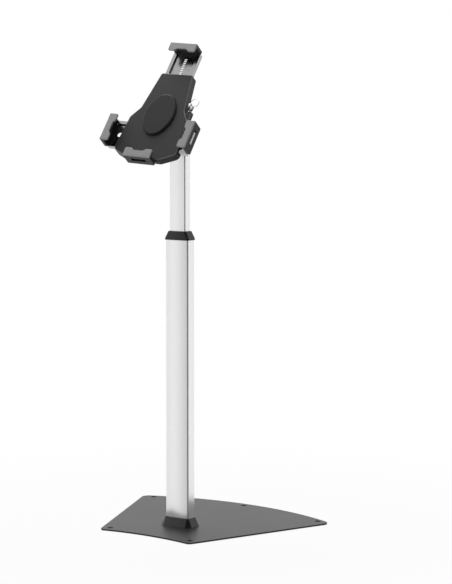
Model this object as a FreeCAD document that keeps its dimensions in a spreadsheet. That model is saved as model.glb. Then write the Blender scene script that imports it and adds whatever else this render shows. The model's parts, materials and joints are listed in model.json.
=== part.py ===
import FreeCAD, Part
import math
import os

import Sketcher

# Tablet floor stand: a fan-shaped floor plate, a two-part column, a swivel, a tilt joint
# and a clamp with four jaws, three of which slide out of it.
# The origin is on the floor, on the axis of the column. +Z is up, the clamp faces -Y,
# and +X is on the right of someone who stands in front of the clamp.

DOC = FreeCAD.newDocument("tablet_floor_stand")
SHEET = DOC.addObject("Spreadsheet::Sheet", "size")
DRIVING = {
    # clearances
    "slide_gap": 0.3,
    "turn_gap": 0.05,
    "fit_gap": 0.1,
    # floor plate and its pads
    "pad_thick": 1.2,
    "pad_radius": 14.0,
    "plate_thick": 3.0,
    "front_half": 106.5,
    "front_edge": 118.0,
    "front_hollow": 11.9,
    "rear_half": 231.0,
    "rear_edge": 183.0,
    "rear_bulge": 51.0,
    "front_corner": 9.0,
    "rear_corner": 14.0,
    "sink_radius": 6.2,
    "fixing_radius": 4.2,
    "sink_slope": 45.0,
    "front_hole_inset": 10.3,
    "front_hole_back": 18.6,
    "rear_hole_inset": 27.4,
    "rear_hole_back": 1.0,
    "middle_hole_back": 15.0,
    "pad_margin": 6.0,
    # foot of the column
    "flange_half_width": 32.0,
    "flange_half_depth": 17.0,
    "flange_thick": 4.0,
    "foot_bolt_head": 5.2,
    "foot_bolt_key": 1.6,
    "bolt_sink_slope": 44.0,
    "foot_bolt_length": 34.0,
    "foot_collar_high": 16.8,
    "foot_collar_slope": 25.0,
    "collar_wall": 1.5,
    # outer tube
    "outer_half_width": 27.1,
    "outer_half_depth": 13.0,
    "outer_sag": 2.0,
    "outer_wall": 2.0,
    "bore_bow": 0.9,
    "outer_corner": 2.6,
    "outer_top": 568.5,
    "port_place": 22.6,
    "port_radius": 2.3,
    "port_wall": 1.1,
    # guide strips and the collar at the top of the outer tube
    "strip_half_width": 16.0,
    "strip_length": 60.0,
    "collar_lap": 3.5,
    "collar_skirt": 3.5,
    "collar_roof": 14.0,
    "collar_top_margin": 2.6,
    # height clamp
    "clamp_below_top": 24.5,
    "clamp_thread": 4.0,
    "bush_flange": 6.5,
    "bush_flange_thick": 1.2,
    "knob_radius": 8.0,
    "knob_length": 12.0,
    "knob_gap": 1.2,
    "grip_radius": 1.3,
    "grip_out": 0.55,
    "shoe_radius": 3.4,
    "shoe_thick": 1.0,
    "shoe_gap": 0.5,
    # inner tube
    "inner_half_width": 18.8,
    "inner_half_depth": 9.8,
    "inner_sag": 1.0,
    "inner_wall": 1.6,
    "inner_corner": 2.0,
    "inner_bottom": 225.0,
    "inner_top": 745.0,
    "inner_port_place": 13.7,
    "inner_port_radius": 1.8,
    "glide_thick": 12.0,
    "port_screw_length": 20.0,
    "port_head": 3.1,
    "port_head_high": 2.0,
    "port_key": 1.2,
    "port_key_deep": 1.4,
    "cap_thick": 5.5,
    "cap_lap": 1.0,
    "cap_round": 0.8,
    "plug_length": 20.0,
    "plug_half_width": 9.6,
    "plug_half_depth": 7.0,
    # swivel
    "head_yaw": 8.5,
    "pan_bolt_radius": 4.0,
    "pan_head_radius": 7.5,
    "pan_head_high": 3.6,
    "pan_head_round": 0.6,
    "pan_key": 2.4,
    "pan_nut_half": 6.4,
    "yoke_radius": 18.0,
    "yoke_thick": 4.0,
    "yoke_heel": 9.0,
    "cheek_thick": 3.5,
    "cheek_radius": 11.0,
    "knuckle_half": 11.9,
    # tilt joint
    "tilt_back": 35.2,
    "tilt_ahead": 38.3,
    "tilt_high": 776.4,
    "tilt_bolt_radius": 4.0,
    "tilt_head_radius": 7.5,
    "tilt_head_thick": 4.6,
    "tilt_flats": 6.5,
    "tilt_washer_thick": 1.2,
    "knuckle_radius": 10.5,
    "neck_half_width": 9.0,
    "neck_half_high": 8.0,
    "disc_radius": 26.0,
    "disc_thick": 5.0,
    "friction_thick": 1.5,
    "friction_radius": 22.0,
    "hub_bolt_radius": 4.0,
    "hub_bolt_deep": 18.0,
    "hub_head_radius": 6.5,
    "hub_head_high": 3.4,
    "hub_bush_radius": 9.0,
    "retainer_radius": 15.0,
    "retainer_thick": 2.0,
    # clamp housing, measured from the turning centre of the clamp
    "stand_off": 54.0,
    "roll_right": 5.0,
    "housing_deep": 16.0,
    "back_thick": 2.0,
    "side_wall": 2.4,
    "face_bevel": 1.8,
    "top_half": 35.0,
    "top_edge": 98.0,
    "neck_half": 48.3,
    "neck_edge": 16.0,
    "shoulder_half": 64.0,
    "shoulder_edge": -7.0,
    "shoulder_round": 6.0,
    "top_round": 4.0,
    "low_half": 70.0,
    "low_edge": 82.0,
    "low_corner": 12.0,
    "bottom_half": 36.0,
    "bottom_edge": 97.0,
    "bottom_round": 5.0,
    "bend_radius": 14.0,
    "oval_half_width": 33.0,
    "oval_half_high": 47.0,
    "oval_end_radius": 24.0,
    "oval_centre": 1.4,
    "oval_high": 4.0,
    "oval_edge": 3.2,
    "peg_radius": 2.0,
    "boss_radius": 3.6,
    "cover_screw_radius": 1.5,
    "cover_screw_head": 3.0,
    "cover_screw_head_high": 1.5,
    "cover_screw_key": 1.2,
    "cover_screw_deep": 9.0,
    "upper_boss_half": 42.0,
    "upper_boss_edge": 4.0,
    "low_boss_half": 46.0,
    "low_boss_inset": 13.0,
    "post_place": 53.0,
    "post_radius": 4.0,
    # arms and jaws
    "arm_half": 29.5,
    "rail_half": 22.5,
    "rail_top": 4.5,
    "rail_deep": 13.5,
    "floor_top": 8.1,
    "sheet_thick": 1.2,
    "rail_short": 6.7,
    "side_centre": 46.0,
    "jaw_half": 29.5,
    "jaw_wall": 6.4,
    "jaw_skin": 2.7,
    "jaw_foot": 7.8,
    "jaw_high": 17.0,
    "ledge_thick": 2.6,
    "ledge_reach": 15.5,
    "ledge_round": 3.0,
    "jaw_foot_round": 2.1,
    "lip_thick": 3.0,
    "lip_reach": 18.1,
    "lip_dip": 5.0,
    "lip_dip_half": 8.0,
    "lip_wave": 10.0,
    "lip_round": 3.2,
    "lip_edge_round": 1.0,
    "window_half": 16.0,
    "window_low": 1.6,
    "window_high": 9.8,
    "tab_half": 22.0,
    "tab_high": 12.0,
    "jaw_screw_place": 19.0,
    "jaw_screw_radius": 1.4,
    "jaw_screw_head": 2.6,
    "jaw_screw_head_high": 1.0,
    "top_reach": 157.1,
    "top_inner_end": 48.0,
    "side_reach": 94.4,
    "side_inner_end": 20.0,
    "bottom_jaw_out": 9.0,
    "bottom_arm_lap": 20.0,
    "bottom_screw_place": 14.0,
    "ratchet_pitch": 4.2,
    "ratchet_half": 3.1,
    "ratchet_gap": 2.4,
    "ratchet_first": 57.7,
    "ratchet_clear": 17.0,
    "guide_half": 4.8,
    "guide_outer": 79.0,
    "guide_inner": 23.5,
    # pinion and racks
    "pitch_radius": 7.0,
    "tooth_slope": 20.0,
    "tooth_top": 1.0,
    "tooth_root": 1.25,
    "tooth_play": 0.5,
    "rack_back": 12.0,
    "rack_thick": 3.2,
    "rack_tip": 30.0,
    "rack_tail": 40.0,
    "pinion_thick": 2.9,
    "pinion_pin_radius": 2.5,
    "pinion_boss_radius": 4.6,
    # pawl
    "pawl_top": 4.9,
    "pawl_thick": 1.5,
    "pawl_half": 3.6,
    "pawl_pivot": 39.0,
    "pawl_tooth_place": 82.9,
    "pawl_tooth_thick": 1.7,
    "pawl_tooth_half": 2.7,
    "pawl_end": 86.5,
    "pawl_foot": 14.0,
    "pawl_pin_radius": 1.0,
    "pawl_knuckle": 2.0,
    "pawl_pin_half": 8.5,
    "lug_inner": 4.2,
    "lug_outer": 7.6,
    "lug_half": 2.4,
    "spring_fixed": 58.0,
    "spring_end": 68.0,
    "spring_half": 3.0,
    "spring_thick": 0.5,
    # lock and keys
    "lock_place": 57.5,
    "lock_deep": 9.5,
    "lock_boss_radius": 6.4,
    "barrel_radius": 4.8,
    "barrel_bottom": 8.6,
    "barrel_top": 17.0,
    "barrel_flange": 6.2,
    "barrel_flange_thick": 2.6,
    "plug_radius": 3.2,
    "cam_radius": 3.9,
    "cam_thick": 2.0,
    "cam_throw": 2.7,
    "cam_pin_radius": 1.0,
    "cam_pin_length": 4.0,
    "bar_top": 2.8,
    "bar_thick": 2.0,
    "bar_low": 14.5,
    "bar_high": 9.8,
    "bar_tip": 1.2,
    "bar_ramp": 3.0,
    "bar_ramp_rise": 1.35,
    "bar_leg_thick": 2.0,
    "bar_leg_half": 2.1,
    "bar_leg_deep": 14.9,
    "bar_slot_half": 1.25,
    "keeper_near": 22.0,
    "keeper_far": 38.0,
    "keeper_thick": 1.4,
    "key_turned": 45.0,
    "key_thick": 1.8,
    "key_blade_half": 2.6,
    "key_blade_length": 16.0,
    "key_neck": 3.0,
    "key_bow_radius": 7.4,
    "key_bow_centre": 7.0,
    "key_hole_radius": 2.9,
    "key_hole_centre": 10.2,
    "ring_radius": 9.0,
    "ring_wire": 0.6,
    "spare_aside": 6.8,
    "spare_hang": 35.0,
}


class Size:
    """A length or angle with its value and the words that give it on the sheet."""

    def __init__(self, value, text):
        self.value = value
        self.text = text

    def __add__(self, other):
        return Size(self.value + plain(other), "(%s + %s)" % (self.text, words(other)))

    def __radd__(self, other):
        return Size(plain(other) + self.value, "(%s + %s)" % (words(other), self.text))

    def __sub__(self, other):
        return Size(self.value - plain(other), "(%s - %s)" % (self.text, words(other)))

    def __rsub__(self, other):
        return Size(plain(other) - self.value, "(%s - %s)" % (words(other), self.text))

    def __mul__(self, other):
        return Size(self.value * plain(other), "(%s * %s)" % (self.text, words(other)))

    def __rmul__(self, other):
        return Size(plain(other) * self.value, "(%s * %s)" % (words(other), self.text))

    def __truediv__(self, other):
        return Size(self.value / plain(other), "(%s / %s)" % (self.text, words(other)))

    def __rtruediv__(self, other):
        return Size(plain(other) / self.value, "(%s / %s)" % (words(other), self.text))

    def __neg__(self):
        return Size(-self.value, "(0 - %s)" % self.text)


def plain(amount):
    """The number in a size or in a plain number."""
    return amount.value if isinstance(amount, Size) else float(amount)


def words(amount):
    """The text of a size or of a plain number."""
    return amount.text if isinstance(amount, Size) else "(%.9f)" % amount


def square_root(amount):
    return Size(math.sqrt(plain(amount)), "sqrt(%s)" % words(amount))


def sine(angle):
    return Size(math.sin(math.radians(plain(angle))), "sin(%s * 1deg)" % words(angle))


def cosine(angle):
    return Size(math.cos(math.radians(plain(angle))), "cos(%s * 1deg)" % words(angle))


class Sizes:
    """The driving dimensions by name."""


s = Sizes()
for row, (alias, number) in enumerate(DRIVING.items(), start=1):
    SHEET.set("A%d" % row, alias.replace("_", " "))
    SHEET.set("B%d" % row, "%.6f" % number)
    SHEET.setAlias("B%d" % row, alias)
    setattr(s, alias, Size(number, "size." + alias))
DOC.recompute()


# Drawing helpers

HALF_TURN = "half turn"


def box(left, low, right, high):
    """A closed rectangle between two corners."""
    return outline([(left, low), (right, low), (right, high), (left, high)])


def mirrored(points):
    """Points on the right from low to high, then their mirror images from high to low."""
    return list(points) + [(-x, y) for x, y in reversed(points)]


def outline(points, radii=None):
    """A closed loop of straight edges, or of arcs for the edges that radii names.

    A positive radius bulges to the right of the edge's direction, a negative one to the left.
    """
    radii = radii or {}

    def draw(sketch):
        first = sketch.GeometryCount
        count = len(points)
        for index, start in enumerate(points):
            end = points[(index + 1) % count]
            add_edge(sketch, start, end, radii.get(index))
        for index, start in enumerate(points):
            this_edge = first + index
            next_edge = first + (index + 1) % count
            this_end, next_start = edge_ends(radii, index, count)
            sketch.addConstraint(
                Sketcher.Constraint("Coincident", this_edge, this_end, next_edge, next_start))
        for index, start in enumerate(points):
            corner = 2 if drawn_backwards(radii.get(index)) else 1
            pin_point(sketch, first + index, corner, start)
    return draw


def drawn_backwards(radius):
    """True for an arc that bulges to the left, which is drawn from its end to its start."""
    return radius not in (None, HALF_TURN) and plain(radius) < 0


def edge_ends(radii, index, count):
    """The ends at which an edge meets the next one."""
    this_end = 1 if drawn_backwards(radii.get(index)) else 2
    next_start = 2 if drawn_backwards(radii.get((index + 1) % count)) else 1
    return this_end, next_start


def add_edge(sketch, start, end, radius):
    a = FreeCAD.Vector(plain(start[0]), plain(start[1]), 0)
    b = FreeCAD.Vector(plain(end[0]), plain(end[1]), 0)
    if radius is None:
        sketch.addGeometry(Part.LineSegment(a, b), False)
        return
    half_turn = radius == HALF_TURN
    size = (b - a).Length / 2 if half_turn else abs(plain(radius))
    side = 1 if half_turn or plain(radius) > 0 else -1
    along = (b - a).normalize()
    right = FreeCAD.Vector(along.y, -along.x, 0) * side
    half = (b - a).Length / 2
    centre = (a + b) / 2 - right * math.sqrt(max(size * size - half * half, 0))
    if side < 0:
        a, b = b, a
    turn_a = math.atan2(a.y - centre.y, a.x - centre.x)
    turn_b = math.atan2(b.y - centre.y, b.x - centre.x)
    if turn_b < turn_a:
        turn_b += 2 * math.pi
    circle = Part.Circle(centre, FreeCAD.Vector(0, 0, 1), size)
    number = sketch.addGeometry(Part.ArcOfCircle(circle, turn_a, turn_b), False)
    if half_turn:
        across = abs(b.x - a.x) < abs(b.y - a.y)
        kind = "DistanceX" if across else "DistanceY"
        amount = start[0] if across else start[1]
        bind_constraint(sketch, Sketcher.Constraint(kind, -1, 1, number, 3, plain(amount)), amount)
    else:
        bind_constraint(sketch, Sketcher.Constraint("Radius", number, size), radius * side)


def pin_point(sketch, edge, corner, point):
    for kind, amount in (("DistanceX", point[0]), ("DistanceY", point[1])):
        constraint = Sketcher.Constraint(kind, -1, 1, edge, corner, plain(amount))
        bind_constraint(sketch, constraint, amount)


def bind_constraint(sketch, constraint, amount):
    number = sketch.addConstraint(constraint)
    if isinstance(amount, Size):
        sketch.setExpression("Constraints[%d]" % number, amount.text)


def disc(across, along, radius):
    """A full circle."""
    def draw(sketch):
        centre = FreeCAD.Vector(plain(across), plain(along), 0)
        circle = Part.Circle(centre, FreeCAD.Vector(0, 0, 1), plain(radius))
        number = sketch.addGeometry(circle, False)
        bind_constraint(sketch, Sketcher.Constraint("Radius", number, plain(radius)), radius)
        pin_point(sketch, number, 3, (across, along))
    return draw


def barrel(half_width, half_depth, sag, corner):
    """A tube's section: flat ends, bowed front and back, and round corners."""
    bow = arc_of(half_width, sag)
    middle = half_depth - bow
    side = half_width - corner
    rise = square_root((bow - corner) * (bow - corner) - side * side)
    share = bow / (bow - corner)
    flat = middle + rise
    across = side * share
    along = middle + rise * share
    points = [
        (half_width, -flat), (half_width, flat), (across, along), (-across, along),
        (-half_width, flat), (-half_width, -flat), (-across, -along), (across, -along)]
    return outline(points, {1: corner, 2: bow, 3: corner, 5: corner, 6: bow, 7: corner})


def arc_of(half_chord, rise):
    """The radius of an arc over a chord."""
    return (half_chord * half_chord + rise * rise) / (2 * rise)


def hexagon(across, along, half_flats):
    """A regular hexagon with two flats upright."""
    reach = half_flats / (math.sqrt(3) / 2)
    corners = [
        (half_flats, reach / 2), (0, reach), (-half_flats, reach / 2),
        (-half_flats, -reach / 2), (0, -reach), (half_flats, -reach / 2)]
    return outline([(across + x, along + y) for x, y in corners])


def long_hole(near, far, half, upright=False):
    """A slot with round ends on the sketch's own middle line, from near to far."""
    corners = [(near + half, -half), (far - half, -half), (far - half, half), (near + half, half)]
    if upright:
        corners = [(-y, x) for x, y in corners]
    return outline(corners, {1: HALF_TURN, 3: HALF_TURN})


# Body helpers

BODIES = []
FACING = {"XY": 1, "XZ": -1, "YZ": 1}


def new_body(name, frame=None):
    """An empty body for one sub-part, placed by the frame's words."""
    body = DOC.addObject("PartDesign::Body", name)
    body.Label = name
    body.AllowCompound = True
    if frame:
        body.setExpression("Placement", frame)
    BODIES.append(body)
    return body


def sketch_on(body, plane, place, loops):
    """A sketch of loops on a plane of the body's own origin, moved along that plane's axis."""
    role = plane + "_Plane"
    base = [item for item in body.Origin.OriginFeatures if item.Role == role][0]
    sketch = body.newObject("Sketcher::SketchObject", body.Name + "_sketch")
    sketch.AttachmentSupport = [(base, "")]
    sketch.MapMode = "FlatFace"
    sketch.setExpression("AttachmentOffset.Base.z", words(place * FACING[plane]))
    for loop in loops:
        loop(sketch)
    return sketch


def add(body, plane, start, end, loops, taper=None):
    """Adds the loops' prism from start to end, in the direction of the plane's axis."""
    pad = body.newObject("PartDesign::Pad", body.Name + "_pad")
    pad.Profile = sketch_on(body, plane, start, loops)
    pad.Reversed = FACING[plane] < 0
    pad.setExpression("Length", words(end - start))
    if taper is not None:
        pad.setExpression("TaperAngle", words(taper))
    body.Tip = pad
    return pad


def cut(body, plane, start, end, loops, taper=None):
    """Cuts the loops' prism from start to end, and makes sure that it removed something."""
    DOC.recompute()
    before = body.Shape.Volume
    pocket = body.newObject("PartDesign::Pocket", body.Name + "_pocket")
    pocket.Profile = sketch_on(body, plane, start, loops)
    pocket.Reversed = FACING[plane] > 0
    pocket.setExpression("Length", words(end - start))
    if taper is not None:
        pocket.setExpression("TaperAngle", words(taper))
    body.Tip = pocket
    DOC.recompute()
    if not body.Shape.Volume < before - 1e-6:
        raise RuntimeError("a cut in %s removed nothing" % body.Name)
    return pocket


def spin(body, loops):
    """Adds loops of (distance from Z, height) points, turned about the body's Z axis."""
    turned = body.newObject("PartDesign::Revolution", body.Name + "_turned")
    sketch = sketch_on(body, "XZ", Size(0.0, "0"), loops)
    turned.Profile = sketch
    turned.ReferenceAxis = (sketch, ["V_Axis"])
    turned.Angle = 360
    body.Tip = turned
    return turned


def soften(body, radius, chosen, kind="Fillet"):
    """Rounds or bevels the edges of the body for which chosen(edge) is true."""
    DOC.recompute()
    before = body.Tip
    names = []
    for number, edge in enumerate(before.Shape.Edges, start=1):
        if chosen(edge):
            names.append("Edge%d" % number)
    if not names:
        raise RuntimeError("no edge to soften in %s" % body.Name)
    smooth = body.newObject("PartDesign::" + kind, body.Name + "_" + kind.lower())
    smooth.Base = (before, names)
    prop = "Radius" if kind == "Fillet" else "Size"
    smooth.setExpression(prop, words(radius))
    body.Tip = smooth
    DOC.recompute()
    return smooth


def runs_along(edge, axis):
    """True for a straight edge that runs along an axis."""
    if not isinstance(edge.Curve, Part.Line):
        return False
    return abs(edge.Curve.Direction.normalize().dot(axis)) > 0.999


def upright_near(points, reach=0.05):
    """Chooses edges along Z that pass through one of the points."""
    spots = [(plain(x), plain(y)) for x, y in points]

    def chosen(edge):
        if not runs_along(edge, FreeCAD.Vector(0, 0, 1)):
            return False
        spot = edge.Vertexes[0].Point
        return any(math.hypot(spot.x - x, spot.y - y) < reach for x, y in spots)
    return chosen


def lies_at(height, reach=0.01):
    """Chooses edges that lie level at a height along Z."""
    level = plain(height)

    def chosen(edge):
        box_of = edge.BoundBox
        return abs(box_of.ZMin - level) < reach and abs(box_of.ZMax - level) < reach
    return chosen


def turn_and_shift(axis, angle, across, along, high):
    """The words of a placement that turns about an axis and shifts."""
    return (
        "create(<<placement>>; create(<<vector>>; %s; %s; %s); "
        "create(<<rotation>>; create(<<vector>>; %d; %d; %d); %s))"
        % (words(across), words(along), words(high), axis[0], axis[1], axis[2], words(angle)))


# Frames of the moving groups

UPRIGHT_Z = (0, 0, 1)
ACROSS_X = (1, 0, 0)
ALONG_Y = (0, 1, 0)
ZERO = Size(0.0, "0")
RIGHT_ANGLE = Size(90.0, "90")
PAN = turn_and_shift(UPRIGHT_Z, s.head_yaw, ZERO, ZERO, ZERO)
TILT = PAN + " * " + turn_and_shift(
    ACROSS_X, RIGHT_ANGLE - s.tilt_back, ZERO, -s.tilt_ahead, s.tilt_high)
HOLDER = TILT + " * " + turn_and_shift(UPRIGHT_Z, -s.roll_right, ZERO, ZERO, s.stand_off)

# Counts

KNOB_GRIPS = 10
PINION_TEETH = 14
KEY_BITS = 4
# A shell that keeps more than this share of its block was not hollowed
HOLLOWED_SHARE = 0.8

# Heights that several pieces share

plate_low = s.pad_thick
plate_top = plate_low + s.plate_thick
flange_top = plate_top + s.flange_thick
foot_collar_top = plate_top + s.foot_collar_high


def fixing_holes():
    """The centres of the five holes that fix the plate to the floor."""
    front, rear = front_hole(), rear_hole()
    middle = s.rear_edge + s.rear_bulge - s.middle_hole_back
    return [front, (-front[0], front[1]), rear, (-rear[0], rear[1]), (ZERO, middle)]


def front_hole():
    return (s.front_half - s.front_hole_inset, s.front_hole_back - s.front_edge)


def rear_hole():
    return (s.rear_half - s.rear_hole_inset, s.rear_edge - s.rear_hole_back)


def make_base_plate():
    body = new_body("base_plate")
    corners = [
        (s.front_half, -s.front_edge), (s.rear_half, s.rear_edge),
        (-s.rear_half, s.rear_edge), (-s.front_half, -s.front_edge)]
    rear = arc_of(s.rear_half, s.rear_bulge)
    front = arc_of(s.front_half, s.front_hollow)
    add(body, "XY", plate_low, plate_top, [outline(corners, {1: rear, 3: -front})])
    soften(body, s.rear_corner, upright_near(corners[1:3]))
    soften(body, s.front_corner, upright_near([corners[0], corners[3]]))
    holes = [disc(x, y, s.fixing_radius) for x, y in fixing_holes()]
    cut(body, "XY", plate_low, plate_top, holes)
    sinks = [disc(x, y, s.fixing_radius) for x, y in fixing_holes()]
    sink_low = plate_top - (s.sink_radius - s.fixing_radius)
    cut(body, "XY", sink_low, plate_top, sinks, s.sink_slope)
    bolts = [disc(side * s.port_place, ZERO, s.port_radius) for side in (1, -1)]
    cut(body, "XY", plate_low, plate_top, bolts)
    heads = [disc(side * s.port_place, ZERO, s.foot_bolt_head + s.fit_gap) for side in (1, -1)]
    sink_high = plate_low + s.foot_bolt_head - s.port_radius
    cut(body, "XY", plate_low, sink_high, heads, -s.bolt_sink_slope)


def make_floor_pads():
    body = new_body("floor_pads")
    inset = s.pad_radius + s.sink_radius + s.pad_margin
    front_across, front_along = front_hole()
    rear_across, rear_along = rear_hole()
    spots = [(ZERO, ZERO)]
    for side in (1, -1):
        spots.append((side * (front_across - inset / 4), front_along + inset))
        spots.append((side * (rear_across - inset), rear_along - inset / 4))
        spots.append((side * (rear_across + front_across) / 2,
                      (rear_along + front_along) / 2 + inset / 2))
    add(body, "XY", ZERO, plate_low, [disc(x, y, s.pad_radius) for x, y in spots])


def make_foot_flange():
    body = new_body("foot_flange")
    half_w = s.flange_half_width
    half_d = s.flange_half_depth
    add(body, "XY", plate_top, flange_top, [box(-half_w, -half_d, half_w, half_d)])
    corners = [(half_w, half_d), (-half_w, half_d), (half_w, -half_d), (-half_w, -half_d)]
    soften(body, s.outer_wall * 2, upright_near(corners))
    bolts = [disc(side * s.port_place, ZERO, s.port_radius) for side in (1, -1)]
    cut(body, "XY", plate_top, flange_top, bolts)


def make_foot_bolts():
    body = new_body("foot_bolts")
    spots = (1, -1)
    cone = s.foot_bolt_head - s.port_radius
    heads = [disc(side * s.port_place, ZERO, s.foot_bolt_head) for side in spots]
    add(body, "XY", plate_low, plate_low + cone - s.fit_gap, heads, -s.sink_slope)
    shanks = [disc(side * s.port_place, ZERO, s.port_radius - s.turn_gap) for side in spots]
    add(body, "XY", plate_low, plate_low + s.foot_bolt_length, shanks)
    keys = [hexagon(side * s.port_place, ZERO, s.foot_bolt_key) for side in spots]
    cut(body, "XY", plate_low, plate_low + cone, keys)


def tube_outer(extra):
    """The outer tube's section, larger all round by extra."""
    return barrel(s.outer_half_width + extra, s.outer_half_depth + extra, s.outer_sag,
                  s.outer_corner + extra)


def make_base_collar():
    body = new_body("base_collar")
    top = s.collar_wall
    slope = s.foot_collar_slope
    flare = s.foot_collar_high * sine(slope) / cosine(slope)
    add(body, "XY", plate_top, foot_collar_top, [tube_outer(top + flare)], -slope)
    soften(body, top / 2, lies_at(foot_collar_top))
    cut(body, "XY", plate_top, foot_collar_top, [tube_outer(s.fit_gap)])
    half_w = s.flange_half_width + s.slide_gap
    half_d = s.flange_half_depth + s.slide_gap
    cut(body, "XY", plate_top, flange_top + s.slide_gap, [box(-half_w, -half_d, half_w, half_d)])


def loft_between(body, low, low_loop, high, high_loop):
    """Adds a straight-sided loft between two level loops."""
    first = sketch_on(body, "XY", low, [low_loop])
    last = sketch_on(body, "XY", high, [high_loop])
    loft = body.newObject("PartDesign::AdditiveLoft", body.Name + "_loft")
    loft.Profile = first
    loft.Sections = [last]
    loft.Ruled = True
    body.Tip = loft
    DOC.recompute()


def ports(body, low, high, place, radius, wall, reach):
    """Screw ports inside a tube's two ends: a block on each side with a hole all the way."""
    inner = place - radius - wall
    half = radius + wall
    for side in (1, -1):
        near, far = (inner, reach) if side > 0 else (-reach, -inner)
        add(body, "XY", low, high, [box(near, -half, far, half)])
    cut(body, "XY", low, high, [disc(side * place, ZERO, radius) for side in (1, -1)])


def clamp_height():
    return s.outer_top - s.clamp_below_top


def make_outer_tube():
    body = new_body("outer_tube")
    wall = s.outer_wall
    add(body, "XY", flange_top, s.outer_top, [tube_outer(ZERO)])
    inside = barrel(s.outer_half_width - wall, s.outer_half_depth - wall,
                    s.outer_sag * s.bore_bow, s.outer_corner / 3)
    cut(body, "XY", flange_top, s.outer_top, [inside])
    reach = s.outer_half_width - wall / 2
    ports(body, flange_top, s.outer_top, s.port_place, s.port_radius, s.port_wall, reach)
    hole = disc(ZERO, clamp_height(), s.clamp_thread + s.collar_wall + s.fit_gap)
    cut(body, "XZ", s.outer_half_depth - wall * 2, s.outer_half_depth + wall, [hole])


def make_guide_strips():
    body = new_body("guide_strips")
    half = s.strip_half_width
    outer = s.outer_half_depth - s.outer_wall - s.fit_gap
    outer_bow = arc_of(s.outer_half_width - s.outer_wall, s.outer_sag * s.bore_bow)
    inner = s.inner_half_depth + s.slide_gap
    inner_bow = arc_of(s.inner_half_width, s.inner_sag)
    outer_drop = outer_bow - square_root(outer_bow * outer_bow - half * half)
    inner_drop = inner_bow - square_root(inner_bow * inner_bow - half * half)
    loops = []
    for side in (1, -1):
        far = side * (outer - outer_drop)
        near = side * (inner - inner_drop)
        if side > 0:
            points = [(half, near), (half, far), (-half, far), (-half, near)]
            loops.append(outline(points, {1: outer_bow, 3: -inner_bow}))
        else:
            points = [(-half, near), (-half, far), (half, far), (half, near)]
            loops.append(outline(points, {1: outer_bow, 3: -inner_bow}))
    add(body, "XY", s.outer_top - s.strip_length, s.outer_top, loops)
    opening = disc(ZERO, clamp_height(), s.clamp_thread + s.collar_wall + s.slide_gap)
    cut(body, "XZ", ZERO, s.outer_half_depth, [opening])


def make_mid_collar():
    body = new_body("mid_collar")
    low = s.outer_top - s.collar_lap
    step = low + s.collar_skirt
    high = s.outer_top + s.collar_roof
    add(body, "XY", low, step, [tube_outer(s.collar_wall)])
    loft_between(
        body, step, tube_outer(s.collar_wall), high, tube_inner(s.collar_top_margin))
    soften(body, s.collar_wall / 2, lies_at(high))
    cut(body, "XY", low, s.outer_top + s.fit_gap, [tube_outer(s.fit_gap)])
    cut(body, "XY", low, high, [tube_inner(s.slide_gap)])


def make_clamp_bush():
    body = new_body("clamp_bush")
    outside = s.outer_half_depth
    thread = s.clamp_thread + s.turn_gap
    spot = (ZERO, clamp_height())
    add(body, "XZ", outside, outside + s.bush_flange_thick, [disc(*spot, s.bush_flange)])
    add(body, "XZ", outside - s.outer_wall, outside, [disc(*spot, s.clamp_thread + s.collar_wall)])
    cut(body, "XZ", outside - s.outer_wall, outside + s.bush_flange_thick, [disc(*spot, thread)])


def make_clamp_screw():
    body = new_body("clamp_screw")
    spot = (ZERO, clamp_height())
    outside = s.outer_half_depth + s.bush_flange_thick + s.knob_gap
    tip = s.inner_half_depth + s.shoe_gap + s.shoe_thick + s.fit_gap
    add(body, "XZ", tip, outside + s.knob_length, [disc(*spot, s.clamp_thread)])
    add(body, "XZ", outside, outside + s.knob_length, [disc(*spot, s.knob_radius)])
    soften(body, s.collar_wall / 2, lambda edge: edge.BoundBox.YMin > plain(outside) - 0.01)
    reach = s.knob_radius + s.grip_out
    notches = []
    for number in range(KNOB_GRIPS):
        turn = 360.0 * number / KNOB_GRIPS
        across = reach * math.cos(math.radians(turn))
        high = clamp_height() + reach * math.sin(math.radians(turn))
        notches.append(disc(across, high, s.grip_radius))
    cut(body, "XZ", outside, outside + s.knob_length, notches)


def make_clamp_shoe():
    body = new_body("clamp_shoe")
    near = s.inner_half_depth + s.shoe_gap
    add(body, "XZ", near, near + s.shoe_thick, [disc(ZERO, clamp_height(), s.shoe_radius)])


def tube_inner(extra):
    """The inner tube's section, larger all round by extra."""
    return barrel(s.inner_half_width + extra, s.inner_half_depth + extra, s.inner_sag,
                  s.inner_corner + extra)


def make_inner_tube():
    body = new_body("inner_tube")
    wall = s.inner_wall
    add(body, "XY", s.inner_bottom, s.inner_top, [tube_inner(ZERO)])
    inside = barrel(s.inner_half_width - wall, s.inner_half_depth - wall,
                    s.inner_sag * s.bore_bow, s.inner_corner / 3)
    cut(body, "XY", s.inner_bottom, s.inner_top, [inside])
    reach = s.inner_half_width - wall / 2
    ports(body, s.inner_bottom, s.inner_top, s.inner_port_place, s.inner_port_radius,
          s.port_wall, reach)


def make_lower_glide():
    body = new_body("lower_glide")
    low = s.inner_bottom - s.glide_thick
    half_w = s.inner_half_width - s.slide_gap
    half_d = s.outer_half_depth - s.outer_wall - s.slide_gap
    add(body, "XY", low, s.inner_bottom, [barrel(half_w, half_d, s.inner_sag, s.inner_corner)])
    holes = [disc(side * s.inner_port_place, ZERO, s.inner_port_radius) for side in (1, -1)]
    cut(body, "XY", low, s.inner_bottom, holes)


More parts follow.
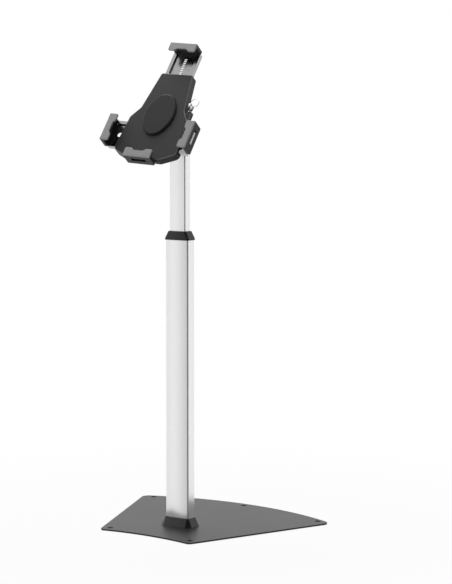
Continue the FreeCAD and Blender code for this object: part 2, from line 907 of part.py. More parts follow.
def make_mast_screws():
    """Four alike: two hold the lower glide in the mast and two hold its cap."""
    body = new_body("mast_screws")
    low = s.inner_bottom - s.glide_thick
    high = s.inner_top + s.cap_thick - s.port_head_high
    spots = [(side * s.inner_port_place, ZERO) for side in (1, -1)]
    heads = [disc(x, y, s.port_head) for x, y in spots]
    shanks = [disc(x, y, s.inner_port_radius - s.turn_gap) for x, y in spots]
    keys = [hexagon(x, y, s.port_key) for x, y in spots]
    key_deep = s.port_key_deep
    add(body, "XY", low - s.port_head_high, low, heads)
    add(body, "XY", low, low + s.port_screw_length, shanks)
    cut(body, "XY", low - s.port_head_high, low - s.port_head_high + key_deep, keys)
    top = high + s.port_head_high - s.fit_gap
    add(body, "XY", high, top, heads)
    add(body, "XY", high - s.port_screw_length, high, shanks)
    cut(body, "XY", top - key_deep, top, keys)


def make_mast_cap():
    body = new_body("mast_cap")
    high = s.inner_top + s.cap_thick
    add(body, "XY", s.inner_top, high, [tube_inner(s.cap_lap)])
    soften(body, s.cap_round, lies_at(high))
    half_w = s.plug_half_width
    half_d = s.plug_half_depth
    low = s.inner_top - s.plug_length
    add(body, "XY", low, s.inner_top, [box(-half_w, -half_d, half_w, half_d)])
    cut(body, "XY", low, high, [disc(ZERO, ZERO, s.pan_bolt_radius + s.turn_gap)])
    spots = [(side * s.inner_port_place, ZERO) for side in (1, -1)]
    cut(body, "XY", s.inner_top, high, [disc(x, y, s.inner_port_radius) for x, y in spots])
    head = s.port_head + s.fit_gap
    cut(body, "XY", high - s.port_head_high, high, [disc(x, y, head) for x, y in spots])


def yoke_low():
    return s.inner_top + s.cap_thick + s.fit_gap


def make_pan_bolt():
    body = new_body("pan_bolt")
    seat = yoke_low() + s.yoke_thick + s.fit_gap
    low = s.inner_top - s.plug_length - s.tilt_head_thick - s.sheet_thick
    head = s.pan_head_radius
    add(body, "XY", seat, seat + s.pan_head_high, [disc(ZERO, ZERO, head)])
    soften(body, s.pan_head_round, lies_at(seat + s.pan_head_high))
    add(body, "XY", low, seat, [disc(ZERO, ZERO, s.pan_bolt_radius)])
    key = hexagon(ZERO, ZERO, s.pan_key)
    cut(body, "XY", seat + s.pan_head_high / 4, seat + s.pan_head_high, [key])


def make_pan_nut():
    body = new_body("pan_nut")
    high = s.inner_top - s.plug_length
    low = high - s.tilt_head_thick
    add(body, "XY", low, high, [
        hexagon(ZERO, ZERO, s.pan_nut_half), disc(ZERO, ZERO, s.pan_bolt_radius + s.turn_gap / 2)])


def make_pan_yoke():
    body = new_body("pan_yoke", PAN)
    low = yoke_low()
    high = low + s.yoke_thick
    inner = s.knuckle_half + s.slide_gap
    outer = inner + s.cheek_thick
    front = s.tilt_ahead + s.cheek_radius
    add(body, "XY", low, high, [disc(ZERO, ZERO, s.yoke_radius)])
    add(body, "XY", low, high, [box(-outer, -front, outer, ZERO)])
    back = s.tilt_ahead - s.cheek_radius
    heel = s.yoke_heel
    axis = (-s.tilt_ahead, s.tilt_high)
    cheek = outline(
        [(-front, low), (-heel, low), (-heel, high + s.yoke_thick), (-back, s.tilt_high),
         (-front, s.tilt_high)],
        {3: HALF_TURN})
    for side in (1, -1):
        near, far = (inner, outer) if side > 0 else (-outer, -inner)
        add(body, "YZ", near, far, [cheek])
    cut(body, "YZ", -outer, outer, [disc(*axis, s.tilt_bolt_radius + s.turn_gap)])
    cut(body, "XY", low, high, [disc(ZERO, ZERO, s.pan_bolt_radius + s.turn_gap)])


def cheek_outside():
    return s.knuckle_half + s.slide_gap + s.cheek_thick


def make_tilt_bolt():
    body = new_body("tilt_bolt", TILT)
    outer = cheek_outside() + s.tilt_washer_thick
    end = outer + s.tilt_head_thick
    add(body, "YZ", outer, end, [hexagon(ZERO, ZERO, s.tilt_flats)])
    tail = end + s.sheet_thick
    add(body, "YZ", -tail, outer, [disc(ZERO, ZERO, s.tilt_bolt_radius)])


def make_tilt_nut():
    body = new_body("tilt_nut", TILT)
    outer = cheek_outside() + s.tilt_washer_thick
    hole = disc(ZERO, ZERO, s.tilt_bolt_radius + s.turn_gap / 2)
    loops = [hexagon(ZERO, ZERO, s.tilt_flats), hole]
    add(body, "YZ", -(outer + s.tilt_head_thick), -outer, loops)


def make_tilt_washers():
    body = new_body("tilt_washers", TILT)
    near = cheek_outside()
    far = near + s.tilt_washer_thick
    ring = [disc(ZERO, ZERO, s.tilt_head_radius),
            disc(ZERO, ZERO, s.tilt_bolt_radius + s.turn_gap)]
    add(body, "YZ", near, far, ring)
    add(body, "YZ", -far, -near, ring)


def disc_top():
    """The face of the tilt head that the friction ring lies on, out along the clamp's axis."""
    return s.stand_off - s.housing_deep - s.back_thick - s.slide_gap - s.friction_thick


def make_tilt_head():
    body = new_body("tilt_head", TILT)
    half = s.knuckle_half
    top = disc_top()
    add(body, "YZ", -half, half, [disc(ZERO, ZERO, s.knuckle_radius)])
    neck_w = s.neck_half_width
    neck_h = s.neck_half_high
    add(body, "XY", ZERO, top - s.disc_thick, [box(-neck_w, -neck_h, neck_w, neck_h)])
    add(body, "XY", top - s.disc_thick, top, [disc(ZERO, ZERO, s.disc_radius)])
    soften(body, s.collar_wall, lies_at(top - s.disc_thick))
    cut(body, "YZ", -half, half, [disc(ZERO, ZERO, s.tilt_bolt_radius + s.turn_gap)])
    thread = disc(ZERO, ZERO, s.hub_bolt_radius + s.turn_gap)
    cut(body, "XY", top - s.hub_bolt_deep, top, [thread])


def make_friction_ring():
    body = new_body("friction_ring", TILT)
    rings = [disc(ZERO, ZERO, s.friction_radius),
             disc(ZERO, ZERO, s.hub_bush_radius + s.fit_gap)]
    add(body, "XY", disc_top(), disc_top() + s.friction_thick, rings)


def retainer_low():
    return s.stand_off - s.housing_deep + s.slide_gap


def make_hub_bush():
    body = new_body("hub_bush", TILT)
    rings = [disc(ZERO, ZERO, s.hub_bush_radius),
             disc(ZERO, ZERO, s.hub_bolt_radius + s.turn_gap)]
    add(body, "XY", disc_top(), retainer_low(), rings)


def make_hub_retainer():
    body = new_body("hub_retainer", TILT)
    rings = [disc(ZERO, ZERO, s.retainer_radius),
             disc(ZERO, ZERO, s.hub_bolt_radius + s.turn_gap)]
    add(body, "XY", retainer_low(), retainer_low() + s.retainer_thick, rings)


def make_hub_bolt():
    body = new_body("hub_bolt", TILT)
    seat = retainer_low() + s.retainer_thick
    top = seat + s.hub_head_high
    add(body, "XY", seat, top, [hexagon(ZERO, ZERO, s.hub_head_radius)])
    deep = disc_top() - s.hub_bolt_deep + s.fit_gap
    add(body, "XY", deep, seat, [disc(ZERO, ZERO, s.hub_bolt_radius)])


def housing_outline():
    """The clamp housing's outline, the same for the cover and the back plate."""
    right = [
        (s.bottom_half, -s.bottom_edge), (s.low_half, -s.low_edge),
        (s.shoulder_half, s.shoulder_edge), (s.neck_half, s.neck_edge),
        (s.top_half, s.top_edge)]
    return mirrored(right)


def round_housing(body):
    corners = housing_outline()
    rounds = [s.bottom_round, s.low_corner, s.shoulder_round, s.bend_radius, s.top_round]
    for number, radius in enumerate(rounds):
        soften(body, radius, upright_near([corners[number], corners[-1 - number]]))


def both_sides(across, along):
    return [(across, along), (-across, along)]


def cover_screw_spots():
    upper = both_sides(s.upper_boss_half, s.upper_boss_edge)
    lower = both_sides(s.low_boss_half, low_screw_place())
    return upper + lower + both_sides(s.post_place, -s.side_centre)


def bottom_arm_screw_spots():
    return both_sides(s.bottom_screw_place, low_screw_place())


def low_screw_place():
    return s.low_boss_inset - s.bottom_edge


def cap_peg_spots():
    reach = s.oval_end_radius
    return [(ZERO, s.oval_centre + reach), (ZERO, s.oval_centre - reach)]


def pawl_axis():
    """The pawl's pivot, as (along, out) in the housing's own frame."""
    return (s.pawl_pivot, -(s.pawl_top + s.pawl_thick / 2))


def pin_across():
    """The rest place of the lock's eccentric pin across the housing."""
    return s.lock_place - s.cam_throw * sine(s.key_turned)


def bar_floor():
    return -(s.bar_top + s.bar_thick)


def make_front_cover():
    body = new_body("front_cover", HOLDER)
    deep = -s.housing_deep
    wall = s.side_wall
    add(body, "XY", deep, ZERO, [outline(housing_outline())])
    round_housing(body)
    hollow_out(body, deep, wall)
    soften(body, s.face_bevel, lies_at(ZERO), "Chamfer")
    gap = s.slide_gap * 2
    low = -(s.rail_deep + gap)
    high = -(s.rail_top - gap)
    half = s.arm_half + gap
    cut(body, "XZ", s.top_edge - wall * 2, s.top_edge + wall, [box(-half, low, half, high)])
    cut(body, "XZ", -(s.bottom_edge + wall), wall * 2 - s.bottom_edge,
        [box(-half, low, half, high)])
    side = box(-(s.side_centre + half), low, half - s.side_centre, high)
    near = s.shoulder_half - wall * 2
    cut(body, "YZ", near, s.low_half + wall, [side])
    cut(body, "YZ", -(s.low_half + wall), -near, [side])
    spots = cover_screw_spots()
    bosses = [disc(x, y, s.boss_radius) for x, y in spots[:4]]
    posts = [disc(x, y, s.post_radius) for x, y in spots[4:]]
    add(body, "XY", deep, -wall / 2, bosses + posts)
    holes = [disc(x, y, s.cover_screw_radius) for x, y in spots]
    cut(body, "XY", deep, s.cover_screw_deep - s.housing_deep, holes)
    low_spots = bottom_arm_screw_spots()
    add(body, "XY", -s.floor_top, -wall / 2, [disc(x, y, s.boss_radius) for x, y in low_spots])
    holes = [disc(x, y, s.cover_screw_radius) for x, y in low_spots]
    cut(body, "XY", -s.floor_top, -wall, holes)
    lock = disc(s.lock_place, -s.lock_deep, s.lock_boss_radius)
    top = s.barrel_top - s.barrel_flange_thick
    add(body, "XZ", s.barrel_bottom / 2 - s.barrel_bottom, top, [lock])
    bore = disc(s.lock_place, -s.lock_deep, s.barrel_radius + s.fit_gap)
    deepest = s.barrel_bottom + s.cam_thick + s.slide_gap * 2
    cut(body, "XZ", -deepest, top, [bore])
    along, out = pawl_axis()
    lug_low = out - s.pawl_knuckle
    lugs = []
    for side in (1, -1):
        near, far = (s.lug_inner, s.lug_outer) if side > 0 else (-s.lug_outer, -s.lug_inner)
        lugs.append(box(near, along - s.lug_half, far, along + s.lug_half))
    add(body, "XY", lug_low, -wall / 2, lugs)
    pin = disc(along, out, s.pawl_pin_radius + s.turn_gap)
    cut(body, "YZ", -s.lug_outer, s.lug_outer, [pin])
    ribs = [
        box(s.keeper_near, -(s.bar_low + s.keeper_thick + s.slide_gap), s.keeper_far,
            -(s.bar_low + s.slide_gap)),
        box(s.keeper_near, slide_rib_low(), s.keeper_far, slide_rib_low() + s.keeper_thick)]
    add(body, "XY", bar_floor(), -wall / 2, ribs)
    cut(body, "XY", -wall, ZERO, [disc(x, y, s.peg_radius + s.turn_gap) for x, y in cap_peg_spots()])


def slide_rib_low():
    return s.slide_gap - s.bar_high


def hollow_out(body, open_level, wall):
    """Leaves a wall all round and opens the face at open_level."""
    DOC.recompute()
    before = body.Tip
    level = plain(open_level)
    names = []
    for number, face in enumerate(before.Shape.Faces, start=1):
        bounds = face.BoundBox
        if abs(bounds.ZMin - level) < 0.01 and abs(bounds.ZMax - level) < 0.01:
            names.append("Face%d" % number)
    shell = body.newObject("PartDesign::Thickness", body.Name + "_shell")
    shell.Base = (before, names)
    shell.setExpression("Value", words(wall))
    shell.Reversed = True
    shell.Join = 0
    body.Tip = shell
    DOC.recompute()
    if not shell.Shape.Volume < before.Shape.Volume * HOLLOWED_SHARE:
        raise RuntimeError("%s was not hollowed" % body.Name)


def make_back_plate():
    body = new_body("back_plate", HOLDER)
    high = -s.housing_deep
    low = high - s.back_thick
    add(body, "XY", low, high, [outline(housing_outline())])
    round_housing(body)
    soften(body, s.back_thick / 2, lies_at(low), "Chamfer")
    holes = [disc(x, y, s.cover_screw_radius + s.fit_gap) for x, y in cover_screw_spots()]
    holes.append(disc(ZERO, ZERO, s.hub_bush_radius + s.turn_gap))
    holes.append(disc(ZERO, -s.side_centre, s.pinion_pin_radius + s.turn_gap))
    cut(body, "XY", low, high, holes)


def make_cover_screws():
    """Six hold the back plate and two hold the bottom arm, all of them from behind."""
    body = new_body("cover_screws", HOLDER)
    seat = -(s.housing_deep + s.back_thick)
    end = s.cover_screw_deep - s.housing_deep - s.slide_gap
    drive_screws(body, cover_screw_spots(), seat, end)
    seat = -(s.floor_top + s.sheet_thick)
    drive_screws(body, bottom_arm_screw_spots(), seat, -s.side_wall - s.slide_gap)


def drive_screws(body, spots, seat, end):
    head = s.cover_screw_head_high
    add(body, "XY", seat - head, seat, [disc(x, y, s.cover_screw_head) for x, y in spots])
    shank = s.cover_screw_radius - s.turn_gap
    add(body, "XY", seat, end, [disc(x, y, shank) for x, y in spots])
    keys = [hexagon(x, y, s.cover_screw_key) for x, y in spots]
    cut(body, "XY", seat - head, seat - head / 3, keys)


def make_oval_cap():
    body = new_body("oval_cap", HOLDER)
    wide = s.oval_half_width
    end = s.oval_end_radius
    offset = s.oval_half_high - end
    bow = (wide * wide + offset * offset - end * end) / (2 * (wide - end))
    share = end / (bow - end)
    across = share * (bow - wide)
    along = offset + share * offset
    middle = s.oval_centre
    points = [
        (across, middle - along), (across, middle + along),
        (-across, middle + along), (-across, middle - along)]
    add(body, "XY", ZERO, s.oval_high, [outline(points, {0: bow, 1: end, 2: bow, 3: end})])
    soften(body, s.oval_edge, lies_at(s.oval_high))
    pegs = [disc(x, y, s.peg_radius) for x, y in cap_peg_spots()]
    add(body, "XY", s.fit_gap - s.side_wall, ZERO, pegs)


# Arms and jaws, each set in a frame of its own whose +Y points outwards

def arm_frame(angle, along):
    return HOLDER + " * " + turn_and_shift(UPRIGHT_Z, Size(angle, "%.1f" % angle), ZERO, along, ZERO)


SETS = {
    "top": (arm_frame(0.0, ZERO), s.top_reach, s.top_inner_end),
    "right": (arm_frame(-90.0, -s.side_centre), s.side_reach, s.side_inner_end),
    "left": (arm_frame(90.0, -s.side_centre), s.side_reach, s.side_inner_end),
    "bottom": (arm_frame(180.0, ZERO), s.bottom_edge + s.bottom_jaw_out,
               s.bottom_edge - s.bottom_arm_lap),
}


def jaw_screw_height():
    return (s.window_low + s.window_high) / 2


def make_arm(side):
    frame, reach, inner_end = SETS[side]
    body = new_body(side + "_arm", frame)
    sheet = s.sheet_thick
    outer = s.arm_half
    inner = s.rail_half
    roof = -s.rail_top
    deep = -s.rail_deep
    level = -s.floor_top
    right = [
        (outer - sheet, deep), (outer, deep), (outer, roof), (inner, roof), (inner, level)]
    under = [
        (inner + sheet, level - sheet), (inner + sheet, roof - sheet), (outer - sheet, roof - sheet)]
    section = right + [(-x, y) for x, y in reversed(right)]
    section += [(-x, y) for x, y in reversed(under)] + under
    rail_end = reach - s.rail_short
    add(body, "XZ", inner_end, rail_end, [outline(section)])
    half = s.tab_half
    tab = reach - s.jaw_skin - s.fit_gap - sheet
    add(body, "XY", level - sheet, level, [box(-half, rail_end, half, tab + sheet)])
    add(body, "XY", level - sheet, s.tab_high, [box(-half, tab, half, tab + sheet)])
    holes = [disc(x, jaw_screw_height(), s.jaw_screw_radius + s.fit_gap)
             for x in (s.jaw_screw_place, -s.jaw_screw_place)]
    cut(body, "XZ", tab, tab + sheet, holes)
    if side == "top":
        cut_ratchet(body, level - sheet, level, reach)
    if side in ("right", "left"):
        slot = long_hole(s.guide_inner, s.guide_outer, s.guide_half, upright=True)
        cut(body, "XY", level - sheet, level, [slot])
    if side == "bottom":
        spots = both_sides(s.bottom_screw_place, -low_screw_place())
        cut(body, "XY", level - sheet, level,
            [disc(x, y, s.cover_screw_radius + s.fit_gap) for x, y in spots])
    return body


def cut_ratchet(body, low, high, reach):
    """The column of ratchet slots, as many as fit between the first one and the jaw."""
    room = reach - s.ratchet_clear - s.ratchet_first
    count = int(plain(room) / plain(s.ratchet_pitch))
    half = s.ratchet_half
    deep = s.ratchet_gap / 2
    slots = []
    for number in range(count + 1):
        centre = s.ratchet_first + number * s.ratchet_pitch
        slots.append(box(-half, centre - deep, half, centre + deep))
    cut(body, "XY", low, high, slots)


def make_jaw(side):
    frame, reach = SETS[side][:2]
    body = new_body(side + "_jaw", frame)
    half = s.jaw_half
    inside = reach - s.jaw_wall
    top = s.jaw_high
    add(body, "XZ", inside, reach, [box(-half, -s.jaw_foot, half, top)])
    ledge = reach - s.ledge_reach
    add(body, "XY", top - s.ledge_thick, top, [box(-half, ledge, half, reach)])
    soften(body, s.ledge_round, upright_near([(half, ledge), (-half, ledge)]))

    def at_foot(edge):
        bounds = edge.BoundBox
        low = abs(bounds.ZMax + plain(s.jaw_foot)) < 0.01
        return low and runs_along(edge, FreeCAD.Vector(0, 1, 0))
    soften(body, s.jaw_foot_round, at_foot)
    slot = box(-(s.tab_half + s.fit_gap), reach - s.jaw_skin - s.sheet_thick - 2 * s.fit_gap,
               s.tab_half + s.fit_gap, reach - s.jaw_skin)
    cut(body, "XY", -s.jaw_foot, s.tab_high + s.fit_gap, [slot])
    window = box(-s.window_half, s.window_low, s.window_half, s.window_high)
    cut(body, "XZ", reach - s.jaw_skin, reach, [window])
    spots = both_sides(s.jaw_screw_place, jaw_screw_height())
    cut(body, "XZ", inside, reach - s.jaw_skin / 2,
        [disc(x, y, s.jaw_screw_radius) for x, y in spots])
    cut(body, "XZ", inside, inside + s.jaw_screw_head_high,
        [disc(x, y, s.jaw_screw_head + s.fit_gap) for x, y in spots])


def make_jaw_screws(side):
    frame, reach = SETS[side][:2]
    body = new_body(side + "_jaw_screws", frame)
    inside = reach - s.jaw_wall
    seat = inside + s.jaw_screw_head_high
    spots = both_sides(s.jaw_screw_place, jaw_screw_height())
    add(body, "XZ", inside + s.fit_gap, seat, [disc(x, y, s.jaw_screw_head) for x, y in spots])
    end = reach - s.jaw_skin / 2 - s.fit_gap
    shank = s.jaw_screw_radius - s.turn_gap
    add(body, "XZ", seat, end, [disc(x, y, shank) for x, y in spots])
    slots = [box(x - s.jaw_screw_head, y - s.fit_gap * 2, x + s.jaw_screw_head, y + s.fit_gap * 2)
             for x, y in spots]
    cut(body, "XZ", inside, inside + s.jaw_screw_head_high / 2, slots)


def make_lip(side):
    frame, reach = SETS[side][:2]
    body = new_body(side + "_lip", frame)
    half = s.jaw_half
    edge = reach - s.lip_reach
    rise = s.lip_dip
    wave = s.lip_wave
    flat = s.lip_dip_half
    bend = (wave * wave + rise * rise) / (4 * rise)
    right = [
        (flat, edge + rise), (flat + wave / 2, edge + rise / 2), (flat + wave, edge),
        (half, edge), (half, reach)]
    points = mirrored(right)
    arcs = {0: -bend, 1: bend, 7: bend, 8: -bend}
    low = s.jaw_high
    high = low + s.lip_thick
    add(body, "XY", low, high, [outline(points, arcs)])
    soften(body, s.lip_round, upright_near([(half, edge), (-half, edge)]))
    soften(body, s.lip_edge_round, lies_at(high))


# Racks, pinion and its pin

def rack_top():
    return -(s.floor_top + s.sheet_thick + s.slide_gap)


def tooth_halves():
    """The module, and half the width of a tooth at its tip and at its root."""
    module = 2 * s.pitch_radius / PINION_TEETH
    slope = sine(s.tooth_slope) / cosine(s.tooth_slope)
    at_pitch = module * (math.pi / 4) - s.tooth_play / 2
    return module, at_pitch - s.tooth_top * slope, at_pitch + s.tooth_root * slope


def make_rack(side):
    frame, reach, inner_end = SETS[side]
    body = new_body(side + "_rack", frame)
    module, tip_half, root_half = tooth_halves()
    tip = s.pitch_radius - s.tooth_top
    root = s.pitch_radius + s.tooth_root
    points = [(s.rack_back, -s.rack_tip), (s.rack_back, s.rack_tail), (root, s.rack_tail)]
    count = int(plain(s.rack_tip) / (math.pi * plain(module)))
    for number in range(count - 1, -count - 1, -1):
        centre = module * (math.pi * (number + 0.5))
        points.append((root, centre + root_half))
        points.append((tip, centre + tip_half))
        points.append((tip, centre - tip_half))
        points.append((root, centre - root_half))
    points.append((root, -s.rack_tip))
    high = rack_top()
    add(body, "XY", high - s.rack_thick, high, [outline(points)])
    middle = (s.rack_back + root) / 2
    stubs = [disc(middle, y, (s.rack_back - root) / 3)
             for y in (inner_end + s.boss_radius, s.rack_tail - s.boss_radius)]
    add(body, "XY", high, high + s.slide_gap, stubs)


def make_pinion():
    body = new_body("pinion", HOLDER)
    module, tip_half, root_half = tooth_halves()
    tip = s.pitch_radius + s.tooth_top - s.tooth_play / 2
    root = s.pitch_radius - s.tooth_root
    points = []
    for number in range(PINION_TEETH):
        turn = math.radians(90 + 360.0 * number / PINION_TEETH)
        east = math.cos(turn)
        north = math.sin(turn)
        for out, half in ((root, -root_half), (tip, -tip_half), (tip, tip_half), (root, root_half)):
            points.append((out * east - half * north, out * north + half * east - s.side_centre))
    high = rack_top()
    low = high - s.pinion_thick
    add(body, "XY", low, high, [
        outline(points), disc(ZERO, -s.side_centre, s.pinion_pin_radius + s.turn_gap)])


def make_pinion_pin():
    body = new_body("pinion_pin", HOLDER)
    spot = (ZERO, -s.side_centre)
    low = -(s.housing_deep + s.back_thick)
    step = rack_top() - s.pinion_thick - s.turn_gap
    add(body, "XY", low, rack_top() + s.slide_gap / 2, [disc(*spot, s.pinion_pin_radius)])
    add(body, "XY", -s.housing_deep, step, [disc(*spot, s.pinion_boss_radius)])


# Pawl, its pin and spring, and the bar that lifts it

def make_pawl():
    body = new_body("pawl", HOLDER)
    high = -s.pawl_top
    low = high - s.pawl_thick
    half = s.pawl_half
    add(body, "XY", low, high, [box(-half, -s.pawl_foot, half, s.pawl_end)])
    tip = s.slide_gap - s.floor_top
    tooth = s.pawl_tooth_thick / 2
    place = s.pawl_tooth_place
    add(body, "XY", tip, high, [
        box(-s.pawl_tooth_half, place - tooth, s.pawl_tooth_half, place + tooth)])
    along, out = pawl_axis()
    add(body, "YZ", -half, half, [disc(along, out, s.pawl_knuckle)])
    cut(body, "YZ", -half, half, [disc(along, out, s.pawl_pin_radius + s.turn_gap)])


def make_pawl_pin():
    body = new_body("pawl_pin", HOLDER)
    along, out = pawl_axis()
    add(body, "YZ", -s.pawl_pin_half, s.pawl_pin_half, [disc(along, out, s.pawl_pin_radius)])


def make_pawl_spring():
    body = new_body("pawl_spring", HOLDER)
    high = -s.side_wall
    tip = s.fit_gap - s.pawl_top
    thick = s.spring_thick
    profile = outline([
        (s.spring_fixed - s.spring_half, high - thick), (s.spring_fixed, high - thick),
        (s.spring_end, tip), (s.spring_end, tip + thick), (s.spring_fixed, high),
        (s.spring_fixed - s.spring_half, high)])
    add(body, "YZ", -s.spring_half, s.spring_half, [profile])


def make_lock_bar():
    body = new_body("lock_bar", HOLDER)
    high = -s.bar_top
    pin = pin_across()
    end = pin + s.bar_leg_half
    add(body, "XY", bar_floor(), high, [box(s.bar_tip, -s.bar_low, end, -s.bar_high)])
    leg = box(pin - s.bar_leg_half, -s.bar_leg_deep, end, high)
    add(body, "XZ", -s.bar_low, s.bar_leg_thick - s.bar_low, [leg])
    reach = s.cam_pin_radius + s.slide_gap
    axis = -s.lock_deep
    lowest = axis - s.cam_throw - reach
    highest = axis - s.cam_throw * cosine(s.key_turned) + reach
    slot = box(pin - s.bar_slot_half, lowest, pin + s.bar_slot_half, highest)
    cut(body, "XZ", -s.bar_low, s.bar_leg_thick - s.bar_low, [slot])
    ramp = outline([
        (s.bar_tip, bar_floor()), (s.bar_tip + s.bar_ramp, bar_floor()),
        (s.bar_tip, bar_floor() + s.bar_ramp_rise)])
    cut(body, "XZ", -s.bar_low, -s.bar_high, [ramp])


def make_bar_keeper():
    body = new_body("bar_keeper", HOLDER)
    high = bar_floor()
    near = -(s.bar_low + s.keeper_thick + s.slide_gap)
    far = slide_rib_low() + s.keeper_thick
    add(body, "XY", high - s.keeper_thick, high, [box(s.keeper_near, near, s.keeper_far, far)])


# Lock and keys

LOCK = HOLDER + " * " + turn_and_shift(ALONG_Y, -s.key_turned, s.lock_place, ZERO, -s.lock_deep)
KEY = LOCK + " * " + turn_and_shift(UPRIGHT_Z, ZERO, ZERO, s.barrel_top, ZERO)


def make_lock_barrel():
    body = new_body("lock_barrel", LOCK)
    bore = s.plug_radius + s.turn_gap
    add(body, "XZ", -s.barrel_bottom, s.barrel_top, [disc(ZERO, ZERO, s.barrel_radius)])
    seat = s.barrel_top - s.barrel_flange_thick
    add(body, "XZ", seat, s.barrel_top, [disc(ZERO, ZERO, s.barrel_flange)])
    soften(body, s.barrel_flange_thick / 3,
           lambda edge: edge.BoundBox.YMin > plain(s.barrel_top) - 0.01)
    cut(body, "XZ", -s.barrel_bottom, s.barrel_top, [disc(ZERO, ZERO, bore)])


def make_lock_plug():
    body = new_body("lock_plug", LOCK)
    low = -(s.barrel_bottom + s.fit_gap)
    face = s.barrel_top
    add(body, "XZ", low, face, [disc(ZERO, ZERO, s.plug_radius)])
    add(body, "XZ", low - s.cam_thick, low, [disc(ZERO, ZERO, s.cam_radius)])
    turned = 2 * s.key_turned
    pin = disc(-s.cam_throw * sine(turned), -s.cam_throw * cosine(turned), s.cam_pin_radius)
    add(body, "XZ", low - s.cam_thick - s.cam_pin_length, low - s.cam_thick, [pin])
    half_w = s.key_blade_half + s.fit_gap
    half_t = s.key_thick / 2 + s.fit_gap
    cut(body, "XZ", face - s.key_blade_length - s.fit_gap, face,
        [box(-half_w, -half_t, half_w, half_t)])


def key_wire_place():
    """Where the ring's wire bears in a key's hole, above the seat of the key's neck."""
    return s.key_neck + s.key_hole_centre + s.key_hole_radius - s.ring_wire - s.slide_gap * 2


def make_key(name, frame):
    body = new_body(name, frame)
    half = s.key_thick / 2
    blade = s.key_blade_half
    low = -s.key_blade_length
    add(body, "XY", -half, half, [box(-blade, low, blade, s.key_neck + s.key_bow_centre)])
    add(body, "XY", -half, half, [disc(ZERO, s.key_neck + s.key_bow_centre, s.key_bow_radius)])
    cut(body, "XY", -half, half, [disc(ZERO, s.key_neck + s.key_hole_centre, s.key_hole_radius)])
    bits = []
    for number in range(KEY_BITS):
        centre = low + (number + 1) * s.key_neck
        bits.append(box(blade - s.key_thick / 3, centre - s.key_thick / 3,
                        blade + s.key_thick, centre + s.key_thick / 3))
    cut(body, "XY", -half, half, bits)


def ring_centre():
    return s.barrel_top + key_wire_place() + s.ring_radius


def make_key_ring():
    frame = HOLDER + " * " + turn_and_shift(
        UPRIGHT_Z, ZERO, s.lock_place, ring_centre(), -s.lock_deep)
    body = new_body("key_ring", frame)
    spin(body, [disc(s.ring_radius, ZERO, s.ring_wire)])


def make_spare_key():
    drop = square_root(s.ring_radius * s.ring_radius - s.spare_aside * s.spare_aside)
    place = turn_and_shift(
        ACROSS_X, s.spare_hang, s.lock_place - s.spare_aside, ring_centre() - drop, -s.lock_deep)
    turned = turn_and_shift(ALONG_Y, RIGHT_ANGLE, ZERO, ZERO, ZERO)
    shifted = turn_and_shift(UPRIGHT_Z, ZERO, ZERO, -(s.key_neck + s.key_hole_centre), ZERO)
    make_key("spare_key", " * ".join([HOLDER, place, turned, shifted]))


def make_all():
    make_base_plate()
    make_floor_pads()
    make_foot_flange()
    make_foot_bolts()
    make_base_collar()
    make_outer_tube()
    make_guide_strips()
    make_mid_collar()
    make_clamp_bush()
    make_clamp_screw()
    make_clamp_shoe()
    make_inner_tube()
    make_lower_glide()
    make_mast_screws()
    make_mast_cap()
    make_pan_bolt()
    make_pan_nut()
    make_pan_yoke()
    make_tilt_bolt()
    make_tilt_nut()
    make_tilt_washers()
    make_tilt_head()
    make_friction_ring()
    make_hub_bush()
    make_hub_retainer()
    make_hub_bolt()
    make_back_plate()
    make_front_cover()
    make_cover_screws()
    make_oval_cap()
    for side in SETS:
        make_arm(side)
        make_jaw(side)
        make_jaw_screws(side)
        make_lip(side)
    for side in ("left", "right"):
        make_rack(side)
    make_pinion()
    make_pinion_pin()
    make_pawl()
    make_pawl_pin()
    make_pawl_spring()
    make_lock_bar()
    make_bar_keeper()
    make_lock_barrel()
    make_lock_plug()
    make_key("key", KEY)
    make_key_ring()
    make_spare_key()


def check_and_write():
    DOC.recompute()
    for item in DOC.Objects:
        if "Invalid" in item.State or "Error" in item.State:
            raise RuntimeError("%s failed: %s" % (item.Name, item.State))
    for body in BODIES:
        if body.Shape.isNull() or not body.Shape.isValid():
            raise RuntimeError("%s has no valid shape" % body.Label)
    os.makedirs("parts", exist_ok=True)
    for body in BODIES:
        body.Shape.exportStep(os.path.join("parts", body.Label + ".step"))
        print(body.Label, len(body.Shape.Solids), round(body.Shape.Volume, 1))


make_all()
check_and_write()
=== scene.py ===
import json
import math

import bmesh
import bpy
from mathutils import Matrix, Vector


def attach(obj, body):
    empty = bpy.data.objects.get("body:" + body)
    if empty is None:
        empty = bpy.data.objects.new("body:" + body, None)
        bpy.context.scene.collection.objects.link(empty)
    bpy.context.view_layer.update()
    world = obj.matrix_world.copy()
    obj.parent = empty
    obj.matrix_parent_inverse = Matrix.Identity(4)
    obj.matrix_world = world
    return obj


# A tablet floor stand: the finish of every piece, the bars in the windows of the jaws,
# a white studio and the camera. Everything is in metres, in the frame's own axes.

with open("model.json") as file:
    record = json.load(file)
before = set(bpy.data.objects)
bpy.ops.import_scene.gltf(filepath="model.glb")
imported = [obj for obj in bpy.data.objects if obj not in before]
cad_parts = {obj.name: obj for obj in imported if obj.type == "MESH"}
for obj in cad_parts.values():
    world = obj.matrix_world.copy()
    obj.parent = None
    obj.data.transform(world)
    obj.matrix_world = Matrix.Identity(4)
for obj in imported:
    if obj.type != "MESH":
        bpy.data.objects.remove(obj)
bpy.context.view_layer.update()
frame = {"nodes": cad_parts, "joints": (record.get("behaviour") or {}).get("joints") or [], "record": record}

MM = 0.001

